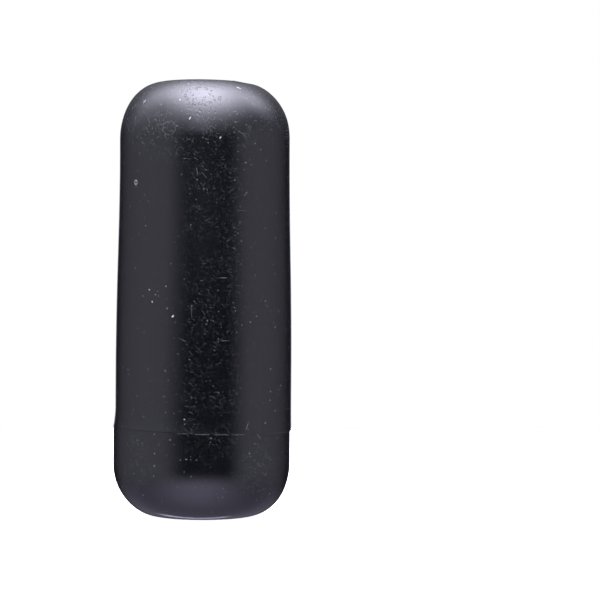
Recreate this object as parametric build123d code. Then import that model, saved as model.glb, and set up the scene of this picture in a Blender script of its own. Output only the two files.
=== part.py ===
from build123d import *
import os

# A slip-on sleeve grip: two black mouldings joined by a ring seam, filled with foam, around a tube that
# takes a shaft. Millimetres. The grip stands upright: Z is its axis, and z = 0 is the face it stands on.

# Outside
LENGTH = 93.0
TOP_RADIUS = 18.3  # at the foot of the upper shoulder
WAIST_RADIUS = 18.4  # the upper half is almost straight
WAIST_HEIGHT = 64.5
BELLY_RADIUS = 18.93  # the lower half is a little fatter
BELLY_HEIGHT = 36.0
SEAM_RADIUS = 19.2  # the body moulding's lower edge flares over the end cap
CAP_RADIUS = 19.02
SEAM_HEIGHT = 19.2
CROWN_RADIUS_INSIDE = 7.8  # the flat ring on each end face
CROWN_RADIUS_OUTSIDE = 9.0
TOP_SHOULDER_HEIGHT = 12.7
BOTTOM_SHOULDER_HEIGHT = 11.8
MOUTH_RADIUS = 5.0  # the rolled-in lip ends here
MOUTH_DEPTH = 4.2

# Inside
WALL = 2.2
SOCKET_WALL = 1.95  # the collar around each end of the tube
SOCKET_DEPTH = 12.0  # from the end face
SPIGOT_WALL = 1.6  # the cap's ring that enters the body moulding
SPIGOT_HEIGHT = 5.0
SPIGOT_ROOT_TAPER = 2.5

# Tube
BORE_RADIUS = 4.7
TUBE_RADIUS = 5.9

# Seam
GROOVE_DEPTH = 0.35  # each edge is broken at 45 degrees, so the groove is twice this high
BEAD_SINK = 0.08  # the bead stops this far below the outside
BEAD_GAP = 0.02

# Clearances
SOCKET_GAP = 0.05
SPIGOT_GAP = 0.15
FOAM_GAP = 0.15
TUBE_END_GAP = 0.05

SOCKET_RADIUS = TUBE_RADIUS + SOCKET_GAP
COLLAR_RADIUS = SOCKET_RADIUS + SOCKET_WALL
TOP_SHOULDER_BASE = LENGTH - TOP_SHOULDER_HEIGHT
CORE_PIN_TOP_RADIUS = TOP_RADIUS - WALL  # the body's inside tapers between these two
CORE_PIN_BOTTOM_RADIUS = SEAM_RADIUS - WALL
CAP_INSIDE_RADIUS = CAP_RADIUS - WALL
SPIGOT_RADIUS = CORE_PIN_BOTTOM_RADIUS - SPIGOT_GAP
SPIGOT_INSIDE_RADIUS = SPIGOT_RADIUS - SPIGOT_WALL
SPIGOT_TOP = SEAM_HEIGHT + SPIGOT_HEIGHT
REBATE_TOP = SPIGOT_TOP + FOAM_GAP


def at(radius, height):
    """A point of the half section, radius out from the axis."""
    return (radius, 0, height)


def run(*points):
    """Straight lines through the points of the half section."""
    return Polyline(*[at(radius, height) for radius, height in points])


def quarter(centre, reach, rise, start):
    """A quarter ellipse of the half section, turning 90 degrees up from a start angle."""
    section = Plane(origin=at(*centre), x_dir=(1, 0, 0), z_dir=(0, -1, 0))
    return section * EllipticalCenterArc((0, 0), reach, rise, start, arc_size=90)


def spin(*lines):
    """The ring whose half section the lines enclose."""
    return revolve(make_face(Wire([edge for line in lines for edge in line.edges()])), Axis.Z)


def shell_outline():
    """The body moulding's outside, from the upper shoulder down to the seam's broken edge."""
    return Spline(
        at(TOP_RADIUS, TOP_SHOULDER_BASE),
        at(WAIST_RADIUS, WAIST_HEIGHT),
        at(BELLY_RADIUS, BELLY_HEIGHT),
        at(SEAM_RADIUS, SEAM_HEIGHT + GROOVE_DEPTH),
        tangents=[(0, 0, -1), (0.02, 0, -1)],
    )


def core_pin_radius(height):
    """The body moulding's inside radius at a height: a straight draft."""
    part_way = (height - SEAM_HEIGHT) / (TOP_SHOULDER_BASE - SEAM_HEIGHT)
    return CORE_PIN_BOTTOM_RADIUS + part_way * (CORE_PIN_TOP_RADIUS - CORE_PIN_BOTTOM_RADIUS)


def make_body_shell():
    """The long moulding, open at the seam, with the upper mouth and a collar for the tube."""
    lip_centre = (CROWN_RADIUS_INSIDE, LENGTH - MOUTH_DEPTH)
    shoulder_centre = (CROWN_RADIUS_OUTSIDE, TOP_SHOULDER_BASE)
    inside_reach = CORE_PIN_TOP_RADIUS - CROWN_RADIUS_OUTSIDE
    inside_rise = TOP_SHOULDER_HEIGHT - WALL
    return spin(
        quarter(lip_centre, CROWN_RADIUS_INSIDE - MOUTH_RADIUS, MOUTH_DEPTH, 90),
        run((CROWN_RADIUS_INSIDE, LENGTH), (CROWN_RADIUS_OUTSIDE, LENGTH)),
        quarter(shoulder_centre, TOP_RADIUS - CROWN_RADIUS_OUTSIDE, TOP_SHOULDER_HEIGHT, 0),
        shell_outline(),
        run(
            (SEAM_RADIUS, SEAM_HEIGHT + GROOVE_DEPTH),
            (SEAM_RADIUS - GROOVE_DEPTH, SEAM_HEIGHT),
            (CORE_PIN_BOTTOM_RADIUS, SEAM_HEIGHT),
            (CORE_PIN_TOP_RADIUS, TOP_SHOULDER_BASE),
        ),
        quarter(shoulder_centre, inside_reach, inside_rise, 0),
        run(
            (CROWN_RADIUS_OUTSIDE, LENGTH - WALL),
            (COLLAR_RADIUS, LENGTH - WALL),
            (COLLAR_RADIUS, LENGTH - SOCKET_DEPTH),
            (SOCKET_RADIUS, LENGTH - SOCKET_DEPTH),
            (SOCKET_RADIUS, LENGTH - MOUTH_DEPTH),
            (MOUTH_RADIUS, LENGTH - MOUTH_DEPTH),
        ),
    )


def make_end_cap():
    """The short moulding that closes the grip, with the lower mouth and a spigot above the seam."""
    lip_centre = (CROWN_RADIUS_INSIDE, MOUTH_DEPTH)
    shoulder_centre = (CROWN_RADIUS_OUTSIDE, BOTTOM_SHOULDER_HEIGHT)
    inside_reach = CAP_INSIDE_RADIUS - CROWN_RADIUS_OUTSIDE
    inside_rise = BOTTOM_SHOULDER_HEIGHT - WALL
    spigot_root = SEAM_HEIGHT - SPIGOT_ROOT_TAPER
    return spin(
        quarter(lip_centre, CROWN_RADIUS_INSIDE - MOUTH_RADIUS, MOUTH_DEPTH, 180),
        run((CROWN_RADIUS_INSIDE, 0), (CROWN_RADIUS_OUTSIDE, 0)),
        quarter(shoulder_centre, CAP_RADIUS - CROWN_RADIUS_OUTSIDE, BOTTOM_SHOULDER_HEIGHT, 270),
        run(
            (CAP_RADIUS, BOTTOM_SHOULDER_HEIGHT),
            (CAP_RADIUS, SEAM_HEIGHT - GROOVE_DEPTH),
            (CAP_RADIUS - GROOVE_DEPTH, SEAM_HEIGHT),
            (SPIGOT_RADIUS, SEAM_HEIGHT),
            (SPIGOT_RADIUS, SPIGOT_TOP),
            (SPIGOT_INSIDE_RADIUS, SPIGOT_TOP),
            (SPIGOT_INSIDE_RADIUS, spigot_root),
            (CAP_INSIDE_RADIUS, spigot_root - SPIGOT_ROOT_TAPER),
            (CAP_INSIDE_RADIUS, BOTTOM_SHOULDER_HEIGHT),
        ),
        quarter(shoulder_centre, inside_reach, inside_rise, 270),
        run(
            (CROWN_RADIUS_OUTSIDE, WALL),
            (COLLAR_RADIUS, WALL),
            (COLLAR_RADIUS, SOCKET_DEPTH),
            (SOCKET_RADIUS, SOCKET_DEPTH),
            (SOCKET_RADIUS, MOUTH_DEPTH),
            (MOUTH_RADIUS, MOUTH_DEPTH),
        ),
    )


def make_core_tube():
    """The liner tube, held between the stop faces under the two lips."""
    low = MOUTH_DEPTH
    high = LENGTH - MOUTH_DEPTH - TUBE_END_GAP
    return spin(
        run(
            (BORE_RADIUS, low),
            (TUBE_RADIUS, low),
            (TUBE_RADIUS, high),
            (BORE_RADIUS, high),
            (BORE_RADIUS, low),
        )
    )


def make_foam_core():
    """The foam sleeve between tube and mouldings, cut back for the collars and the spigot."""
    bore = TUBE_RADIUS + FOAM_GAP
    collar_bore = COLLAR_RADIUS + FOAM_GAP
    rebate = SPIGOT_INSIDE_RADIUS - FOAM_GAP
    top_radius = core_pin_radius(TOP_SHOULDER_BASE) - FOAM_GAP
    top_height = LENGTH - WALL - FOAM_GAP
    bottom_arc_centre = (CROWN_RADIUS_OUTSIDE, BOTTOM_SHOULDER_HEIGHT)
    top_arc_centre = (CROWN_RADIUS_OUTSIDE, TOP_SHOULDER_BASE)
    bottom_rise = BOTTOM_SHOULDER_HEIGHT - WALL
    top_rise = top_height - TOP_SHOULDER_BASE
    return spin(
        quarter(bottom_arc_centre, rebate - CROWN_RADIUS_OUTSIDE, bottom_rise, 270),
        run(
            (rebate, BOTTOM_SHOULDER_HEIGHT),
            (rebate, REBATE_TOP),
            (core_pin_radius(REBATE_TOP) - FOAM_GAP, REBATE_TOP),
            (top_radius, TOP_SHOULDER_BASE),
        ),
        quarter(top_arc_centre, top_radius - CROWN_RADIUS_OUTSIDE, top_rise, 0),
        run(
            (CROWN_RADIUS_OUTSIDE, top_height),
            (collar_bore, top_height),
            (collar_bore, LENGTH - SOCKET_DEPTH - FOAM_GAP),
            (bore, LENGTH - SOCKET_DEPTH - FOAM_GAP),
            (bore, SOCKET_DEPTH + FOAM_GAP),
            (collar_bore, SOCKET_DEPTH + FOAM_GAP),
            (collar_bore, WALL),
            (CROWN_RADIUS_OUTSIDE, WALL),
        ),
    )


def make_cement_bead():
    """The thin ring of cement that fills most of the groove at the seam."""
    cap_edge = CAP_RADIUS - GROOVE_DEPTH + BEAD_GAP
    body_edge = SEAM_RADIUS - GROOVE_DEPTH + BEAD_GAP
    outside = CAP_RADIUS - BEAD_SINK
    return spin(
        run(
            (cap_edge, SEAM_HEIGHT),
            (outside, SEAM_HEIGHT - (outside - cap_edge)),
            (outside, SEAM_HEIGHT + (outside - body_edge)),
            (body_edge, SEAM_HEIGHT),
            (cap_edge, SEAM_HEIGHT),
        )
    )


PIECES = {
    "body_shell": make_body_shell,
    "end_cap": make_end_cap,
    "core_tube": make_core_tube,
    "foam_core": make_foam_core,
    "cement_bead": make_cement_bead,
}

os.makedirs("parts", exist_ok=True)
for name, make in PIECES.items():
    export_step(make(), f"parts/{name}.step")
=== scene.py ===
"""The looks of a slip-on sleeve grip: two black vinyl mouldings joined by a ring seam, around a liner tube.

Metres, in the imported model's frame: Z is the grip's axis and the grip stands on z = 0. Angles round the
grip are in degrees from the front (-Y), positive towards +X.
"""

import math
import random

import bpy
from mathutils import Matrix, Vector, noise


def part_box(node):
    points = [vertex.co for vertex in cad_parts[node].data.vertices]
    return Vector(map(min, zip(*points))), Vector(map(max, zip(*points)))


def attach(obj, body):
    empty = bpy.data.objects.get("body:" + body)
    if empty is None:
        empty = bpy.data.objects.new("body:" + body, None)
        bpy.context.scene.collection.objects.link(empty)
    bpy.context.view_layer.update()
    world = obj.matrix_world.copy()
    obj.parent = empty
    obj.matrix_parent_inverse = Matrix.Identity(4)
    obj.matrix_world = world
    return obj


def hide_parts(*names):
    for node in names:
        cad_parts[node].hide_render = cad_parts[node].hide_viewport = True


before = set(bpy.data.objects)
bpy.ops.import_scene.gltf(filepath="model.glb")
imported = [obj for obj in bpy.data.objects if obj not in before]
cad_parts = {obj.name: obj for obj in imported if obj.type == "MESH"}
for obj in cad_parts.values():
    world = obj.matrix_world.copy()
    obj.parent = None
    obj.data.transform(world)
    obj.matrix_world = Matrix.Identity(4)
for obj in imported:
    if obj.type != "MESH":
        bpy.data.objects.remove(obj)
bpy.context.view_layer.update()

MM = 0.001

# ---------------------------------------------------------------- sizes taken from the frame
SHELL_LOW, SHELL_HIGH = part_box("body_shell")
CAP_LOW, CAP_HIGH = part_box("end_cap")
TUBE_LOW, TUBE_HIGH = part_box("core_tube")
LENGTH = SHELL_HIGH.z - CAP_LOW.z
SEAM = SHELL_LOW.z
CAP_RADIUS = (CAP_HIGH.x - CAP_LOW.x) / 2
TUBE_RADIUS = (TUBE_HIGH.x - TUBE_LOW.x) / 2
MOUTH_DEPTH = TUBE_LOW.z

# ---------------------------------------------------------------- the mouldings' section
TOP_RADIUS = 18.3 * MM  # at the foot of the upper shoulder
BELLY_RADIUS = 18.94 * MM  # from half way down
FLARE_RADIUS = 19.11 * MM  # the body moulding's edge at the seam
FLARE_HEIGHT = 4.5 * MM
TAPER_BOTTOM = 33 * MM  # between these two heights the body narrows from the belly to the upper radius
TAPER_TOP = 76 * MM
WALL = 2.2 * MM
CROWN_INSIDE = 7.8 * MM
CROWN_OUTSIDE = 9.0 * MM
TOP_SHOULDER = 12.7 * MM
BOTTOM_SHOULDER = 11.8 * MM
CAP_FULLNESS = 2.1  # the cap's shoulder is a little fuller than an ellipse, whose fullness is 2
LIP_END_RADIUS = 5.35 * MM
COLLAR_RADIUS = 7.9 * MM
SOCKET_DEPTH = 12.0 * MM
BODY_EDGE_BREAK = 0.12 * MM
SPIGOT_HEIGHT = 5.0 * MM
SPIGOT_WALL = 1.6 * MM
SPIGOT_GAP = 0.4 * MM
SPIGOT_ROOT_TAPER = 2.5 * MM
BODY_SHIFT = 0.2 * MM  # the mouldings sit a little off each other's axes, the body towards +X
CAP_SHIFT = -0.16 * MM
CAP_LEAN = 0.3 * MM  # the cap's lower face sits this much further towards +X than its upper edge
SEAM_DROP = 0.85 * MM  # the seam is this much lower at +X than at -X

SHARP_ANGLE = math.radians(35)  # edges sharper than this are not shaded smooth
SEGMENTS = 360  # round each moulding
SHOULDER_STEPS = 46
LIP_STEPS = 16
INSIDE_STEPS = 12
BODY_ROWS = 150  # between the upper shoulder and the seam
CAP_ROWS = 20


def swollen(part, fullness):
    """A cosine or sine, for a curve that is fuller than an ellipse when the fullness is above 2."""
    return math.copysign(abs(part) ** (2 / fullness), part)


def arc(centre, reach, rise, start, stop, steps, fullness=2.0):
    """Points of an ellipse's arc in the half section, from one angle in degrees to another."""
    points = []
    for step in range(steps + 1):
        angle = math.radians(start + (stop - start) * step / steps)
        out = reach * swollen(math.cos(angle), fullness)
        up = rise * swollen(math.sin(angle), fullness)
        points.append((centre[0] + out, centre[1] + up))
    return points


def smooth(low, high, value):
    """0 below low, 1 above high, and an S curve between."""
    part = min(max((value - low) / (high - low), 0.0), 1.0)
    return part * part * (3 - 2 * part)


def flare_share(height):
    """How far the lower edge's flare has opened at a height: 1 at the seam."""
    return max(0.0, 1 - (height - SEAM) / FLARE_HEIGHT) ** 2


def body_radius(height):
    """The body moulding's outside radius below the upper shoulder."""
    belly = TOP_RADIUS + (BELLY_RADIUS - TOP_RADIUS) * (1 - smooth(TAPER_BOTTOM, TAPER_TOP, height))
    return belly + (FLARE_RADIUS - BELLY_RADIUS) * flare_share(height)


def body_section():
    """The closed half section of the body moulding, outside first."""
    foot = LENGTH - TOP_SHOULDER
    lip_reach = CROWN_INSIDE - LIP_END_RADIUS
    outside = arc((CROWN_INSIDE, LENGTH - MOUTH_DEPTH), lip_reach, MOUTH_DEPTH, 180, 90, LIP_STEPS)
    outside += arc((CROWN_OUTSIDE, foot), TOP_RADIUS - CROWN_OUTSIDE, TOP_SHOULDER, 90, 0, SHOULDER_STEPS)
    lower_edge = SEAM + BODY_EDGE_BREAK
    for row in range(1, BODY_ROWS + 1):
        height = foot + (lower_edge - foot) * row / BODY_ROWS
        outside.append((body_radius(height), height))
    edge = FLARE_RADIUS - BODY_EDGE_BREAK
    inside = [(edge, SEAM), (FLARE_RADIUS - WALL, SEAM), (TOP_RADIUS - WALL, foot)]
    inside_reach = TOP_RADIUS - WALL - CROWN_OUTSIDE
    inside += arc((CROWN_OUTSIDE, foot), inside_reach, TOP_SHOULDER - WALL, 0, 90, INSIDE_STEPS)[1:]
    inside += [
        (COLLAR_RADIUS, LENGTH - WALL),
        (COLLAR_RADIUS, LENGTH - SOCKET_DEPTH),
        (TUBE_RADIUS, LENGTH - SOCKET_DEPTH),
        (TUBE_RADIUS, LENGTH - MOUTH_DEPTH),
    ]
    return outside + inside


def cap_section():
    """The closed half section of the end cap, outside first."""
    lip_reach = CROWN_INSIDE - LIP_END_RADIUS
    centre = (CROWN_OUTSIDE, BOTTOM_SHOULDER)
    reach = CAP_RADIUS - CROWN_OUTSIDE
    outside = arc((CROWN_INSIDE, MOUTH_DEPTH), lip_reach, MOUTH_DEPTH, 180, 270, LIP_STEPS)
    outside += arc(centre, reach, BOTTOM_SHOULDER, 270, 360, SHOULDER_STEPS, CAP_FULLNESS)
    for row in range(1, CAP_ROWS + 1):
        outside.append((CAP_RADIUS, BOTTOM_SHOULDER + (SEAM - BOTTOM_SHOULDER) * row / CAP_ROWS))
    spigot = FLARE_RADIUS - WALL - SPIGOT_GAP
    inside = [
        (spigot, SEAM),
        (spigot, SEAM + SPIGOT_HEIGHT),
        (spigot - SPIGOT_WALL, SEAM + SPIGOT_HEIGHT),
        (spigot - SPIGOT_WALL, SEAM - SPIGOT_ROOT_TAPER),
        (CAP_RADIUS - WALL, SEAM - 2 * SPIGOT_ROOT_TAPER),
    ]
    inside_reach = CAP_RADIUS - WALL - CROWN_OUTSIDE
    inside += arc(centre, inside_reach, BOTTOM_SHOULDER - WALL, 360, 270, INSIDE_STEPS)
    inside += [
        (COLLAR_RADIUS, WALL),
        (COLLAR_RADIUS, SOCKET_DEPTH),
        (TUBE_RADIUS, SOCKET_DEPTH),
        (TUBE_RADIUS, MOUTH_DEPTH),
    ]
    return outside + inside


def spin(name, section, reshape):
    """A closed ring mesh whose half section is given. reshape moves each point of it."""
    rows = len(section)
    points = []
    for radius, height in section:
        for segment in range(SEGMENTS):
            angle = 2 * math.pi * segment / SEGMENTS
            points.append(reshape(Vector((radius * math.cos(angle), radius * math.sin(angle), height))))
    faces = []
    for row in range(rows):
        here, there = row * SEGMENTS, (row + 1) % rows * SEGMENTS
        for segment in range(SEGMENTS):
            after = (segment + 1) % SEGMENTS
            faces.append((here + segment, here + after, there + after, there + segment))
    mesh = bpy.data.meshes.new(name)
    mesh.from_pydata(points, [], faces)
    piece = bpy.data.objects.new(name, mesh)
    bpy.context.scene.collection.objects.link(piece)
    turn_faces_outward(mesh)
    mesh.shade_smooth()
    mesh.set_sharp_from_angle(angle=SHARP_ANGLE)
    return piece


def turn_faces_outward(mesh):
    """Makes every face of a closed mesh look outward."""
    volume = 0.0
    mesh.calc_loop_triangles()
    for triangle in mesh.loop_triangles:
        a, b, c = (mesh.vertices[i].co for i in triangle.vertices)
        volume += a.dot(b.cross(c))
    if volume < 0:
        mesh.flip_normals()


# ---------------------------------------------------------------- wear of the shape
SKIN_START = TUBE_RADIUS + 3 * MM  # the mouldings' outer wall lies beyond this radius
SWELL = 0.07 * MM
SWELL_ACROSS = 55  # swells to a metre, roughly
SWELL_UPWARD = 22
RIPPLE = 0.012 * MM
RIPPLE_ACROSS = 210
RIPPLE_UPWARD = 90
CAP_WAVES = 0.4  # the cap's waves are this share of the body's
CAP_WAVES_PLACE = Vector((0, 0, 0.05))  # and come from this far away in the same pattern
SIDE_BLEND = 9 * MM  # the body's left and right sides differ, and blend over twice this width
SEAM_BLEND = 9 * MM  # the seam's crookedness dies out over this height above it
CAP_SEAM_BLEND = 4 * MM  # and in the cap it dies out this far below the top of the shoulder
CAP_LEAN_HEIGHT = 9 * MM  # the cap leans below this height
DENTED_HEIGHT = 9 * MM  # the dents reach no further down from the end face
DENTED_RADIUS = 17 * MM


def waves(point):
    """The mouldings aren't true: slow swells of a few hundredths of a millimetre."""
    slow = noise.noise(Vector((point.x * SWELL_ACROSS, point.y * SWELL_ACROSS, point.z * SWELL_UPWARD)))
    x, y, z = point.x * RIPPLE_ACROSS + 7, point.y * RIPPLE_ACROSS, point.z * RIPPLE_UPWARD
    fine = noise.noise(Vector((x, y, z)))
    return SWELL * slow + RIPPLE * fine


def dent(point, start, stop, half_width, depth):
    """How deep an elongated dent on the upper end face is at a point. start and stop are its ends. It is
    narrow at both and widest a little before its middle."""
    along = Vector(stop) - Vector(start)
    offset = Vector((point.x, point.y)) - Vector(start)
    share = min(max(offset.dot(along) / along.length_squared, 0.0), 1.0)
    distance = (offset - along * share).length
    width = half_width * (0.45 + 0.55 * math.sin(math.pi * min(share + 0.12, 1.0)))
    return depth * math.exp(-((distance / width) ** 2) * 1.4)


def seam_drop(point):
    """How far the crooked seam has dropped at a point's side."""
    return SEAM_DROP * min(max(0.5 + point.x / (2 * CAP_RADIUS), 0.0), 1.0)


END_DENTS = [
    # a long pressed-in dent, shallower at the front, with a raised inner edge, and a fine crease on the
    # other side
    ((12.1 * MM, 3.9 * MM), (9.2 * MM, -3.6 * MM), 1.5 * MM, 0.2 * MM),
    ((9.8 * MM, -2.4 * MM), (7.2 * MM, -9.2 * MM), 1.4 * MM, 0.11 * MM),
    ((10.3 * MM, 3.8 * MM), (6.0 * MM, -7.6 * MM), 0.35 * MM, -0.05 * MM),
    ((-11.4 * MM, 6.2 * MM), (-13.6 * MM, 0.6 * MM), 0.4 * MM, 0.1 * MM),
]
END_TILT = 0.006  # the upper end face falls this much towards +X
LIP_SHIFT = Vector((-0.28 * MM, 0.22 * MM, 0))  # the rolled lip's inner edge is off centre


def wear_body(point):
    """Moves a point of the body moulding: swells, a crooked end face with dents, and an uneven lip."""
    outward = Vector((point.x, point.y, 0))
    radius = outward.length
    moved = point.copy()
    if radius > SKIN_START or point.z > LENGTH - WALL:
        moved += outward.normalized() * waves(point)
    top = smooth(LENGTH - TOP_SHOULDER, LENGTH, point.z)
    right = smooth(-SIDE_BLEND, SIDE_BLEND, point.x)
    flare = flare_share(point.z) * (1.3 - 0.7 * right)
    pulled_in = 1.3 * top * (1 - right)  # the left of the upper shoulder
    bulge = 3.8 * top * (1 - top) * right  # half way up its right
    moved.x += BODY_SHIFT * (1 - pulled_in + bulge - flare)
    moved.z -= seam_drop(point) * (1 - smooth(SEAM, SEAM + SEAM_BLEND, point.z))
    moved.z -= END_TILT * max(point.x + CROWN_OUTSIDE, 0) * top
    if point.z > LENGTH - DENTED_HEIGHT and radius < DENTED_RADIUS:
        for start, stop, half_width, depth in END_DENTS:
            moved.z -= dent(point, start, stop, half_width, depth)
    if radius < CROWN_INSIDE and point.z > LENGTH - MOUTH_DEPTH - 0.01 * MM:
        share = (CROWN_INSIDE - radius) / (CROWN_INSIDE - LIP_END_RADIUS)
        moved += LIP_SHIFT * smooth(0, 1, share)
    return moved


def wear_cap(point):
    """Moves a point of the end cap: its swells, its place off the body's axis and its lean."""
    outward = Vector((point.x, point.y, 0))
    moved = point.copy()
    if outward.length > SKIN_START or point.z < WALL:
        moved += outward.normalized() * CAP_WAVES * waves(point + CAP_WAVES_PLACE)
    shift = CAP_SHIFT + CAP_LEAN * (1 - smooth(0, CAP_LEAN_HEIGHT, point.z))
    moved.x += shift * smooth(COLLAR_RADIUS, COLLAR_RADIUS + 3 * MM, outward.length)
    moved.z -= seam_drop(point) * smooth(BOTTOM_SHOULDER - CAP_SEAM_BLEND, SEAM, point.z)
    return moved


body = spin("body_moulding", body_section(), wear_body)
cap = spin("cap_moulding", cap_section(), wear_cap)


# ---------------------------------------------------------------- cement line
BEAD_DEPTH = 0.28 * MM  # its middle lies this far inside the cap's outside
BEAD_REACH = 0.2 * MM
BEAD_RISE = 0.1 * MM
BEAD_STEPS = 12
BEAD_SQUEEZE = 0.04 * MM
BEAD_LIFT = 0.03 * MM


def bead_section():
    """A small oval section that fills the groove."""
    return arc((CAP_RADIUS - BEAD_DEPTH, SEAM), BEAD_REACH, BEAD_RISE, 0, 360, BEAD_STEPS)[:-1]


def wear_bead(point):
    """The line is uneven: it swells out of the groove in places and sinks in others."""
    outward = Vector((point.x, point.y, 0)).normalized()
    squeeze = noise.noise(Vector((point.x * 260, point.y * 260, 3)))
    lift = noise.noise(Vector((point.x * 420, point.y * 420, 9)))
    moved = point + outward * (BEAD_SQUEEZE * squeeze)
    moved.x += CAP_SHIFT / 2
    moved.z += BEAD_LIFT * lift - seam_drop(point)
    return moved


bead = spin("cement_line", bead_section(), wear_bead)


# ---------------------------------------------------------------- materials
class Graph:
    """Adds nodes to a material or world and joins them. An input is a number, a colour or a node's socket."""

    def __init__(self, owner, coordinates):
        owner.use_nodes = True
        self.owner = owner
        self.tree = owner.node_tree
        self.place = self.add("ShaderNodeTexCoord").outputs[coordinates]

    def add(self, kind, inputs=None, **settings):
        node = self.tree.nodes.new(kind)
        for key, value in settings.items():
            setattr(node, key, value)
        for key, value in (inputs or {}).items():
            self.feed(node.inputs[key], value)
        return node

    def feed(self, socket, value):
        if isinstance(value, bpy.types.NodeSocket):
            self.tree.links.new(value, socket)
        else:
            socket.default_value = value

    def maths(self, operation, *values):
        node = self.add("ShaderNodeMath", operation=operation)
        for socket, value in zip(node.inputs, values):
            self.feed(socket, value)
        return node.outputs[0]

    def vector(self, operation, *values):
        node = self.add("ShaderNodeVectorMath", operation=operation)
        for socket, value in zip(node.inputs, values):
            self.feed(socket, value)
        return node.outputs["Value" if operation in ("DOT_PRODUCT", "LENGTH", "DISTANCE") else "Vector"]

    def scaled(self, factor, offset=(0, 0, 0)):
        """The place on the piece, scaled and shifted."""
        node = self.add("ShaderNodeVectorMath", operation="MULTIPLY_ADD")
        self.feed(node.inputs[0], self.place)
        factor = (factor,) * 3 if isinstance(factor, (int, float)) else factor
        self.feed(node.inputs[1], factor)
        self.feed(node.inputs[2], offset)
        return node.outputs[0]

    def noise(self, place, scale, detail=2.0, roughness=0.5):
        node = self.add(
            "ShaderNodeTexNoise",
            {"Vector": place, "Scale": scale, "Detail": detail, "Roughness": roughness},
        )
        return node.outputs["Fac"]

    def ramp(self, value, low, high, out_low=0.0, out_high=1.0):
        node = self.add("ShaderNodeMapRange", interpolation_type="SMOOTHSTEP")
        names = ("Value", "From Min", "From Max", "To Min", "To Max")
        for key, entry in zip(names, (value, low, high, out_low, out_high)):
            self.feed(node.inputs[key], entry)
        return node.outputs[0]

    def blend(self, share, first, second):
        node = self.add("ShaderNodeMix", data_type="RGBA")
        self.feed(node.inputs["Factor"], share)
        self.feed(node.inputs[6], first)  # the colour sockets share their names with other kinds
        self.feed(node.inputs[7], second)
        return node.outputs[2]

    def fold(self, operation, *values):
        """One result from several values, such as their sum, product or largest."""
        result = values[0]
        for value in values[1:]:
            result = self.maths(operation, result, value)
        return result


class Surface(Graph):
    """A material's graph, with its shader's own sockets."""

    def __init__(self, name):
        super().__init__(bpy.data.materials.new(name), "Object")
        self.shader = self.tree.nodes["Principled BSDF"]

    def paint(self, colour, roughness, bump_height=None, bump_distance=0.0):
        self.feed(self.shader.inputs["Base Color"], colour)
        self.feed(self.shader.inputs["Roughness"], roughness)
        if bump_height is not None:
            bump = self.add("ShaderNodeBump", {"Distance": bump_distance, "Height": bump_height})
            self.feed(self.shader.inputs["Normal"], bump.outputs[0])


def hairs(graph, cell, half_width, reach, share, seed):
    """Short straight scratches at random places and angles: one at most in each cell of a cell pattern.
    cell is the cells' size and half_width the scratch's, in metres; reach is in cells, and share is how many
    cells have one."""
    place = graph.scaled(1 / cell, (seed, seed * 1.7, seed * 0.6))
    cells = graph.add("ShaderNodeTexVoronoi", {"Vector": place, "Scale": 1.0})
    local = graph.vector("SUBTRACT", place, cells.outputs["Position"])
    lean = graph.vector("SUBTRACT", cells.outputs["Color"], (0.5, 0.5, 0.5))
    lean = graph.vector("NORMALIZE", lean)
    across = graph.maths("ABSOLUTE", graph.vector("DOT_PRODUCT", local, lean))
    parts = graph.add("ShaderNodeSeparateColor", {"Color": cells.outputs["Color"]})
    line = graph.ramp(across, half_width / cell * 0.3, half_width / cell * 1.3, 1.0, 0.0)
    near = graph.maths("MULTIPLY_ADD", parts.outputs[0], reach * 0.7, reach * 0.3)
    near = graph.maths("LESS_THAN", graph.vector("LENGTH", local), near)
    chosen = graph.maths("LESS_THAN", parts.outputs[1], share)
    strength = graph.maths("MULTIPLY_ADD", graph.maths("POWER", parts.outputs[2], 2.0), 0.8, 0.2)
    return graph.fold("MULTIPLY", line, near, chosen, strength)


def squiggles(graph, size, width, share, seed):
    """Short curling scratches: broken lines of equal height in a noise of the given size in metres."""
    place = graph.scaled(1 / size, (seed, seed * 0.3, seed * 2.1))
    field = graph.noise(place, 1.0, 1.5, 0.6)
    line = graph.ramp(graph.maths("ABSOLUTE", graph.maths("SUBTRACT", field, 0.5)), 0.0, width, 1.0, 0.0)
    gate = graph.noise(graph.scaled(1 / size, (seed + 5, seed, seed)), 1.3, 1.0)
    return graph.maths("MULTIPLY", line, graph.ramp(gate, 1 - share, 1.06 - share))


def specks(graph, cell, radius, share, seed):
    """Round specks of dust, one at most in each cell, of different sizes."""
    place = graph.scaled(1 / cell, (seed, seed * 0.4, seed * 1.3))
    cells = graph.add("ShaderNodeTexVoronoi", {"Vector": place, "Scale": 1.0})
    parts = graph.add("ShaderNodeSeparateColor", {"Color": cells.outputs["Color"]})
    size = graph.maths("MULTIPLY_ADD", parts.outputs[0], radius / cell, radius / cell * 0.4)
    inside = graph.maths("LESS_THAN", cells.outputs["Distance"], size)
    chosen = graph.maths("LESS_THAN", parts.outputs[2], share)
    strength = graph.maths("MULTIPLY_ADD", parts.outputs[1], 0.8, 0.2)
    return graph.maths("MULTIPLY", graph.maths("MULTIPLY", inside, chosen), strength)


def outside_radius(height):
    """The grip's outside radius at any height, shoulders included."""
    foot = LENGTH - TOP_SHOULDER
    if height > foot:
        rise = (height - foot) / TOP_SHOULDER
        return CROWN_OUTSIDE + (TOP_RADIUS - CROWN_OUTSIDE) * math.sqrt(max(0.0, 1 - rise * rise))
    if height > SEAM:
        return body_radius(height)
    fall = max(0.0, (BOTTOM_SHOULDER - height) / BOTTOM_SHOULDER)
    return CROWN_OUTSIDE + (CAP_RADIUS - CROWN_OUTSIDE) * math.sqrt(1 - fall * fall)


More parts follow.
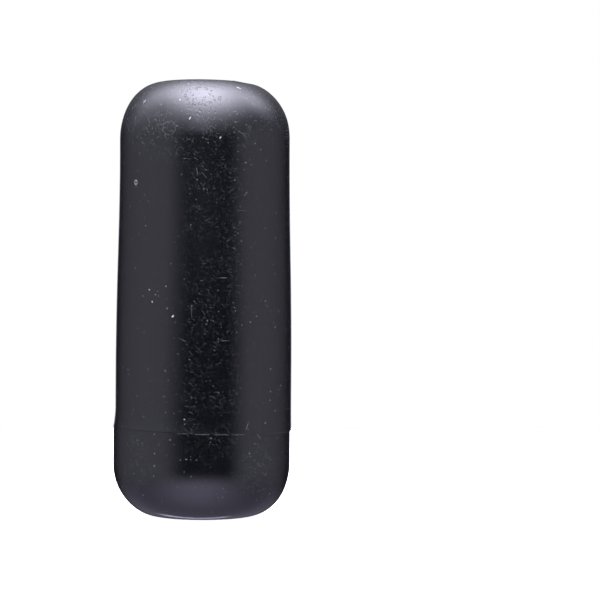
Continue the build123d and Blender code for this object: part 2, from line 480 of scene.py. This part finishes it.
def on_wall(angle, height):
    """The point of the worn outside at an angle from the front and a height in millimetres."""
    turn = math.radians(angle)
    height *= MM
    radius = outside_radius(height)
    point = Vector((radius * math.sin(turn), -radius * math.cos(turn), height))
    return wear_body(point) if height > SEAM else wear_cap(point)


# Marks that stand out. Each is an angle, a height in mm, a lean from upright in degrees, a half length and a
# half width in mm, and a brightness. They follow marks seen in the photo, to about two degrees and a mm.
BRIGHT_FLECKS = [
    (-50, 88, 30, 0.4, 0.12, 1.0),
    (-18, 88, -30, 0.2, 0.15, 0.9),
    (-10, 84, 25, 0.3, 0.13, 1.0),
    (30, 91, -55, 0.5, 0.14, 1.0),
    (10, 80, 40, 0.25, 0.14, 0.8),
    (-35, 46, 0, 0.15, 0.15, 0.8),
    (-20, 43, 50, 0.25, 0.17, 1.0),
    (-12, 22, 0, 0.12, 0.14, 0.7),
]
LONG_SCRATCHES = [
    (12, 51, 90, 0.9, 0.11, 0.18),
    (25, 65, 90, 2.0, 0.08, 0.09),
    (12, 38, 90, 1.3, 0.12, 0.1),
    (-5, 73, -10, 0.8, 0.1, 0.2),
    (-8, 44, -5, 1.1, 0.08, 0.13),
    (55, 88, 5, 1.7, 0.07, 0.3),
    (-55, 84, 0, 1.0, 0.08, 0.24),
]


def scattered(count, half_lengths, half_widths, brightnesses, seed):
    """Marks at random places all round the grip, each measure between two limits."""
    draw = random.Random(seed).uniform
    rows = []
    for _ in range(count):
        place = (draw(-180, 180), draw(6, 92), draw(-90, 90))
        rows.append((*place, draw(*half_lengths), draw(*half_widths), draw(*brightnesses)))
    return rows


def curled_hair(angle, height, radius):
    """A hair lying in an open loop round an angle and a height, as straight strokes round a circle in mm."""
    strokes = []
    for turn in range(30, 331, 50):
        sideways = radius * math.sin(math.radians(turn))
        upward = radius * math.cos(math.radians(turn))
        around = math.degrees(sideways * MM / TOP_RADIUS)
        strokes.append((angle + around, height + upward, turn + 90, radius * 0.45, 0.08, 0.2))
    return strokes


def seam_scuffs():
    """Scuffs end to end along the front of the seam, brightest a little right of its middle."""
    height = SEAM / MM - 0.1
    return [(angle, height, 90, 2.3, 0.1, 0.2 - 0.005 * abs(angle - 6)) for angle in range(-12, 25, 12)]


SLOPE_STEP = 0.3  # in mm: the wall's slope at a mark is taken between points this far above and below it
PINHOLE = (-52, 71, 0.5)  # angle, height and radius in mm
PITTED = (-2.0, 89.0, 7.0)  # the pitted place on the upper shoulder: angle, height and radius in mm


def marks(graph, rows):
    """A mask of the marks in a list of rows, each as bright as its row says."""
    masks = []
    for angle, height, lean, half_length, half_width, brightness in rows:
        middle = on_wall(angle, height)
        turn, tilt = math.radians(angle), math.radians(lean)
        upward = on_wall(angle, height + SLOPE_STEP) - on_wall(angle, height - SLOPE_STEP)
        upward = upward.normalized()
        direction = upward * math.cos(tilt) + Vector((math.cos(turn), math.sin(turn), 0)) * math.sin(tilt)
        offset = graph.vector("SUBTRACT", graph.place, middle)
        along = graph.maths("ABSOLUTE", graph.vector("DOT_PRODUCT", offset, direction))
        across = graph.vector("LENGTH", graph.vector("CROSS_PRODUCT", offset, direction))
        length, width = half_length * MM, half_width * MM
        within = graph.ramp(along, length * 0.7, length * 1.2, brightness, 0.0)
        masks.append(graph.maths("MULTIPLY", within, graph.ramp(across, width * 0.4, width, 1.0, 0.0)))
    return graph.fold("MAXIMUM", *masks)


def pinhole(graph):
    """A small blister hole: 1 on its rim, and the hole itself, as two masks."""
    angle, height, radius = PINHOLE
    distance = graph.vector("DISTANCE", graph.place, on_wall(angle, height))
    hole = graph.ramp(distance, radius * 0.55 * MM, radius * 0.75 * MM, 1.0, 0.0)
    rim = graph.ramp(distance, radius * 0.9 * MM, radius * 1.1 * MM, 1.0, 0.0)
    return graph.maths("SUBTRACT", rim, hole), hole


def pitted(graph):
    """Where the upper shoulder is pitted: 1 in the middle of the place, 0 away from it."""
    angle, height, radius = PITTED
    distance = graph.vector("DISTANCE", graph.place, on_wall(angle, height))
    return graph.ramp(distance, radius * 0.4 * MM, radius * MM, 1.0, 0.0)


WORN_SPOTS = [
    # the handled places besides the front: angle, height in mm, radius in mm
    (-46, 86, 13),
    (-50, 12, 9),
    (38, 11, 8),
    (-12, 83, 13),
    (20, 84, 9),
    (150, 62, 20),
    (-140, 34, 18),
    (-170, 84, 14),
]
WORN_FRONT = (1.8, 4.5, 8.0)  # in mm across the front: the stripe's middle, its even part and its edge


def worn(graph):
    """Where the handling shows most: 1 in the middle of the worn places, 0 away from them."""
    places = []
    for angle, height, radius in WORN_SPOTS:
        distance = graph.vector("DISTANCE", graph.place, on_wall(angle, height))
        places.append(graph.ramp(distance, radius * 0.4 * MM, radius * MM, 1.0, 0.0))
    middle, even, edge = WORN_FRONT
    x, y, z = graph.add("ShaderNodeSeparateXYZ", {"Vector": graph.place}).outputs
    across = graph.maths("ABSOLUTE", graph.maths("SUBTRACT", x, middle * MM))
    stripe = graph.fold(
        "MULTIPLY",
        graph.ramp(across, even * MM, edge * MM, 1.0, 0.0),
        graph.maths("LESS_THAN", y, 0),
        graph.ramp(z, 10 * MM, 22 * MM, 0.25, 1.0),
    )
    shoulder = graph.ramp(z, 78 * MM, 83 * MM, 0.0, 0.8)
    return graph.fold("MAXIMUM", stripe, shoulder, *places)


# The painted reflection: a pale line low on the cap's front that stands in for light reflected there.
PAINTED_REFLECTION_LINE = (-0.3, 0.68, 0.0095, 0.19)  # in mm: its lowest place's x and z, its bend, and its half width
PAINTED_REFLECTION_MIDDLE = -1.6  # in mm along X
PAINTED_REFLECTION_ENDS = (4.5, 8.5)  # in mm from its middle: it fades between these


def draw_painted_reflection(graph):
    """A pale curved line low on the cap's front half, near its lower face: a painted reflection."""
    lowest_x, lowest_z, bend, half_width = PAINTED_REFLECTION_LINE
    x, y, z = graph.add("ShaderNodeSeparateXYZ", {"Vector": graph.place}).outputs
    sideways = graph.maths("SUBTRACT", x, lowest_x * MM)
    line_z = graph.maths("MULTIPLY_ADD", graph.maths("POWER", sideways, 2.0), bend / MM, lowest_z * MM)
    away = graph.maths("ABSOLUTE", graph.maths("SUBTRACT", z, line_z))
    line = graph.ramp(away, half_width * 0.3 * MM, half_width * MM, 1.0, 0.0)
    along = graph.maths("ABSOLUTE", graph.maths("SUBTRACT", x, PAINTED_REFLECTION_MIDDLE * MM))
    fade_start, fade_end = PAINTED_REFLECTION_ENDS
    ends = graph.ramp(along, fade_start * MM, fade_end * MM, 1.0, 0.0)
    return graph.fold("MULTIPLY", line, ends, graph.maths("LESS_THAN", y, 0))


def fine_scratches(graph, dense):
    """Three sizes of straight scratch and two of curling ones, most of them where dense is high."""
    scratches = graph.fold(
        "MAXIMUM",
        hairs(graph, 0.6 * MM, 0.04 * MM, 0.8, 0.6, 2.0),
        hairs(graph, 1.1 * MM, 0.045 * MM, 0.7, 0.5, 5.0),
        hairs(graph, 2.3 * MM, 0.05 * MM, 0.5, 0.45, 9.0),
        graph.maths("MULTIPLY", squiggles(graph, 0.8 * MM, 0.035, 0.45, 3.0), 0.35),
        graph.maths("MULTIPLY", squiggles(graph, 1.9 * MM, 0.018, 0.5, 7.0), 0.5),
    )
    return graph.maths("MULTIPLY", scratches, dense)


def fine_dust(graph, dense):
    """Three sizes of speck. The smallest lie where dense is high, the others all over."""
    return graph.fold(
        "MAXIMUM",
        graph.maths("MULTIPLY", specks(graph, 0.9 * MM, 0.08 * MM, 0.45, 4.0), dense),
        graph.maths("MULTIPLY", specks(graph, 1.1 * MM, 0.11 * MM, 0.55, 11.0), 0.55),
        specks(graph, 3.5 * MM, 0.13 * MM, 0.25, 8.0),
    )


def strong_marks(graph):
    """The marks that stand out. Cycles renders the skin solid black if there are too many: 72 are few enough,
    and 92 are too many."""
    breaks = graph.ramp(graph.noise(graph.place, 2200, 1.0), 0.38, 0.6, 0.25, 1.0)
    flecks = marks(graph, BRIGHT_FLECKS + scattered(18, (0.1, 0.18), (0.1, 0.13), (0.25, 0.55), 4))
    lines = LONG_SCRATCHES + curled_hair(-24, 82, 1.4) + seam_scuffs()
    lines += scattered(12, (0.4, 0.9), (0.07, 0.09), (0.12, 0.24), 9)
    return graph.maths("MAXIMUM", flecks, graph.maths("MULTIPLY", marks(graph, lines), breaks))


VINYL_DARK = (0.0008, 0.0011, 0.0013, 1)
VINYL_LIGHT = (0.0016, 0.0019, 0.0021, 1)
HOLE_BLACK = (0.001, 0.001, 0.001, 1)
# the pale of scratches, dust and flecks, also used for the painted reflection and the painted sheen
PALE_MARKS_AND_PAINTED_LIGHT = (0.55, 0.56, 0.6, 1)
PEEL_DEPTH = 0.004 * MM  # of the orange peel


def vinyl():
    """Black satin vinyl, handled and dusty: fine scratches, dust, swirls and a slight orange peel, with
    painted sheen on the upper shoulder's scratches and a painted reflection low on the cap's front.
    """
    graph = Surface("black_vinyl")
    handled = worn(graph)
    height = graph.add("ShaderNodeSeparateXYZ", {"Vector": graph.place}).outputs[2]
    # How pale the scratches are: 0.04 is their own pale, and the rise to 0.12 on the upper shoulder is
    # painted sheen where the overhead light falls on them.
    scratch_pale_and_sheen = graph.ramp(height, 74 * MM, 84 * MM, 0.04, 0.12)
    patches = graph.ramp(graph.noise(graph.place, 190, 3.0, 0.6), 0.35, 0.65, 0.3, 1.0)
    haze = graph.noise(graph.scaled(1.0, (3, 1, 2)), 45, 4.0, 0.6)
    dense = graph.maths("MULTIPLY", patches, graph.ramp(handled, 0.0, 1.0, 0.2, 1.0))
    scratches = fine_scratches(graph, dense)
    dust = fine_dust(graph, dense)
    pits = graph.fold("MULTIPLY", squiggles(graph, 1.15 * MM, 0.06, 0.5, 12.0), pitted(graph))
    strong = strong_marks(graph)
    rim, hole = pinhole(graph)
    # the painted reflection low on the cap's front
    painted_reflection = draw_painted_reflection(graph)
    # How pale each place is: scratches, dust, flecks and the pinhole's rim, with the painted sheen and the
    # painted reflection.
    pale = graph.fold(
        "MAXIMUM",
        graph.maths("MULTIPLY", scratches, scratch_pale_and_sheen),
        graph.maths("MULTIPLY", dust, 0.24),
        graph.maths("MULTIPLY", strong, 0.5),
        graph.maths("MULTIPLY", rim, 0.3),
        painted_reflection,
    )
    tone = graph.blend(haze, VINYL_DARK, VINYL_LIGHT)
    colour = graph.blend(pale, tone, PALE_MARKS_AND_PAINTED_LIGHT)
    colour = graph.blend(hole, colour, HOLE_BLACK)
    marked = graph.fold("MAXIMUM", scratches, dust, strong, rim, painted_reflection, pits)
    roughness = graph.maths("MULTIPLY_ADD", marked, 0.3, graph.ramp(haze, 0.3, 0.75, 0.11, 0.15))
    peel = graph.noise(graph.place, 900, 3.0, 0.55)
    swell = graph.noise(graph.place, 160, 1.0, 0.4)
    relief = graph.maths("MULTIPLY_ADD", swell, 3.0, peel)
    relief = graph.maths("MULTIPLY_ADD", scratches, -0.3, relief)
    relief = graph.maths("MULTIPLY_ADD", pits, -9.0, relief)
    relief = graph.maths("MULTIPLY_ADD", hole, -9.0, relief)
    graph.paint(colour, roughness, relief, PEEL_DEPTH)
    return graph.owner


def extruded():
    """The liner tube: dark extruded plastic with draw lines along it."""
    graph = Surface("tube_plastic")
    lines = graph.noise(graph.scaled((1, 1, 0.02)), 1600, 2.0, 0.6)
    tone = graph.blend(lines, (0.006, 0.006, 0.007, 1), (0.016, 0.016, 0.018, 1))
    graph.paint(tone, graph.ramp(lines, 0.3, 0.7, 0.32, 0.5), lines, 0.006 * MM)
    return graph.owner


def foam():
    """The foam sleeve: dark closed cells."""
    graph = Surface("closed_cell_foam")
    cells = graph.add("ShaderNodeTexVoronoi", {"Vector": graph.place, "Scale": 2600.0}).outputs["Distance"]
    tone = graph.blend(cells, (0.035, 0.035, 0.037, 1), (0.1, 0.1, 0.105, 1))
    graph.paint(tone, graph.ramp(cells, 0, 1, 0.75, 0.95), cells, 0.08 * MM)
    return graph.owner


def cement():
    """The cement line: black, with pale scuffed stretches where it stands proud."""
    graph = Surface("set_cement")
    stretches = graph.ramp(graph.noise(graph.place, 90, 3.0, 0.7), 0.5, 0.62)
    grain = graph.noise(graph.place, 1500, 2.0, 0.6)
    scuff = graph.maths("MULTIPLY", stretches, graph.ramp(grain, 0.4, 0.65))
    tone = graph.blend(scuff, (0.001, 0.001, 0.001, 1), (0.08, 0.08, 0.09, 1))
    graph.paint(tone, graph.ramp(scuff, 0, 1, 0.3, 0.7), grain, 0.02 * MM)
    return graph.owner


def give(piece, material):
    """Puts one material on every slot of a piece."""
    if not piece.material_slots:
        piece.data.materials.append(material)
    for slot in piece.material_slots:
        slot.link = "OBJECT"
        slot.material = material


black_vinyl = vinyl()
for piece, node, slot, finish in (
    (body, "body_shell", "shell", black_vinyl),
    (cap, "end_cap", "shell", black_vinyl),
    (bead, "cement_bead", "cement", cement()),
):
    give(piece, finish)
    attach(piece, "root")
    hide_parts(node)
give(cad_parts["core_tube"], extruded())
give(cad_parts["foam_core"], foam())


# ---------------------------------------------------------------- studio
FLOOR_RADIUS = 0.3
FLOOR_SIDES = 96
FLOOR_HEIGHT = -0.02 * MM  # just clear of the grip's lower face
TINT = (0.95, 0.93, 1.12, 1)  # the light is a little violet
FLOOR_TINT = (0.96, 0.89, 1.24, 1)
GLOWS = [
    # where each glow is, how far it spreads and how bright it is; the first is the main light
    ((0, -0.26, 0.97), 0.165, 17.4),
    ((0, 0.6, 0.8), 0.15, 0.35),
    ((-0.1, -0.9, 0.4), 0.035, 0.8),
    ((-0.66, 0.17, 0.73), 0.06, 2.2),
    ((0.68, 0.17, 0.73), 0.05, 2.8),
]
FLOOR_GLOW = ((-0.1, -0.8, -0.6), 0.4, 1.4)  # the pale floor is brightest in front
FLOOR_LIGHT = 0.27  # and this bright away from there
DARK = 0.03  # the least brightness anywhere


def floor():
    """A plain pale round table top. It shines for the camera alone, which hides the grip's shadow. Gloss
    doesn't see it: studio() holds its reflection, softer and dimmer."""
    corners = []
    for side in range(FLOOR_SIDES):
        angle = 2 * math.pi * side / FLOOR_SIDES
        corners.append((FLOOR_RADIUS * math.cos(angle), FLOOR_RADIUS * math.sin(angle), FLOOR_HEIGHT))
    mesh = bpy.data.meshes.new("floor")
    mesh.from_pydata(corners, [], [range(FLOOR_SIDES)])
    table = bpy.data.objects.new("floor", mesh)
    bpy.context.scene.collection.objects.link(table)
    table.visible_glossy = False
    graph = Surface("pale_table")
    mottle = graph.noise(graph.place, 30, 2.0)
    graph.paint(graph.blend(mottle, (0.78, 0.78, 0.78, 1), (0.82, 0.82, 0.82, 1)), 0.9)
    graph.shader.inputs["Specular IOR Level"].default_value = 0.1
    graph.shader.inputs["Emission Color"].default_value = (1, 1, 1, 1)
    seen = graph.add("ShaderNodeLightPath").outputs["Is Camera Ray"]
    graph.feed(graph.shader.inputs["Emission Strength"], seen)
    give(table, graph.owner)


def glow(graph, toward, spread, brightness):
    """A soft round light in the sky, brightest toward a direction."""
    cosine = graph.vector("DOT_PRODUCT", graph.place, Vector(toward).normalized())
    fall = graph.maths("EXPONENT", graph.maths("MULTIPLY_ADD", cosine, 1 / spread, -1 / spread))
    return graph.maths("MULTIPLY", fall, brightness)


def side_light(graph, azimuth, height, angles, heights, brightness):
    """A tall soft panel: it brightens over the first two angles from the front and fades over the last two,
    and fades upward over two heights. Last angles beyond 180 degrees leave it bright to the very back."""
    start, full, fading, end = (math.radians(angle) for angle in angles)
    rise = graph.ramp(azimuth, start, full, 0.0, brightness)
    return graph.fold(
        "MULTIPLY",
        rise,
        graph.ramp(azimuth, fading, end, 1.0, 0.0),
        graph.ramp(height, *heights, 1.0, 0.0),
    )


def studio():
    """The light: a large soft glow overhead, leaning to the front, dimmer ones below it, a tall soft panel at
    each side, a narrow one behind, and a pale floor, brightest in front. The camera itself sees a plain
    white background."""
    world = bpy.data.worlds.new("studio")
    bpy.context.scene.world = world
    graph = Graph(world, "Generated")
    x, y, z = graph.add("ShaderNodeSeparateXYZ", {"Vector": graph.place}).outputs
    azimuth = graph.maths("ARCTAN2", x, graph.maths("MULTIPLY", y, -1.0))
    mirrored = graph.maths("MULTIPLY", azimuth, -1.0)
    glows = graph.fold("ADD", *[glow(graph, *row) for row in GLOWS])
    low = graph.ramp(graph.maths("MULTIPLY", z, -1.0), 0.15, 0.62)
    pale_floor = graph.maths("ADD", glow(graph, *FLOOR_GLOW), FLOOR_LIGHT)
    turned = graph.maths("ABSOLUTE", azimuth)
    slope = graph.maths("ABSOLUTE", z)
    panels = graph.fold(
        "ADD",
        side_light(graph, mirrored, z, (17, 57, 68, 156), (0.4, 0.75), 0.82),
        side_light(graph, azimuth, z, (29, 62, 70, 150), (0.05, 0.45), 0.78),
        side_light(graph, turned, slope, (162, 172, 181, 182), (0.07, 0.105), 1.1),
    )
    brightness = graph.fold(
        "ADD",
        graph.maths("MULTIPLY", glows, graph.ramp(z, 0.0, 0.25)),
        graph.maths("MULTIPLY", panels, graph.maths("SUBTRACT", 1.0, low)),
        graph.maths("MULTIPLY", low, pale_floor),
        DARK,
    )
    light = graph.tree.nodes["Background"]
    graph.feed(light.inputs["Color"], graph.blend(low, TINT, FLOOR_TINT))
    graph.feed(light.inputs["Strength"], brightness)
    white = graph.add("ShaderNodeBackground", {"Color": (1, 1, 1, 1)})
    seen = graph.add("ShaderNodeLightPath").outputs["Is Camera Ray"]
    both = graph.add("ShaderNodeMixShader", {"Fac": seen, 1: light.outputs[0], 2: white.outputs[0]})
    graph.feed(graph.tree.nodes["World Output"].inputs["Surface"], both.outputs[0])


# ---------------------------------------------------------------- camera
CAMERA_DISTANCE = 0.438
LENS = 121.8
CAMERA_YAW = 2.73  # degrees to the right, which puts the grip left of the frame's middle
CAMERA_ROLL = 0.3


def camera():
    """A long lens level with the grip's middle, looking along +Y."""
    data = bpy.data.cameras.new("camera")
    data.lens = LENS
    data.sensor_width = 36
    data.clip_start = 0.01
    eye = bpy.data.objects.new("camera", data)
    bpy.context.scene.collection.objects.link(eye)
    eye.matrix_world = (
        Matrix.Translation((0, -CAMERA_DISTANCE, LENGTH / 2))
        @ Matrix.Rotation(math.radians(-CAMERA_YAW), 4, "Z")
        @ Matrix.Rotation(math.radians(90), 4, "X")
        @ Matrix.Rotation(math.radians(CAMERA_ROLL), 4, "Z")
    )
    bpy.context.scene.camera = eye


floor()
studio()
camera()
bpy.context.scene.view_settings.view_transform = "Standard"
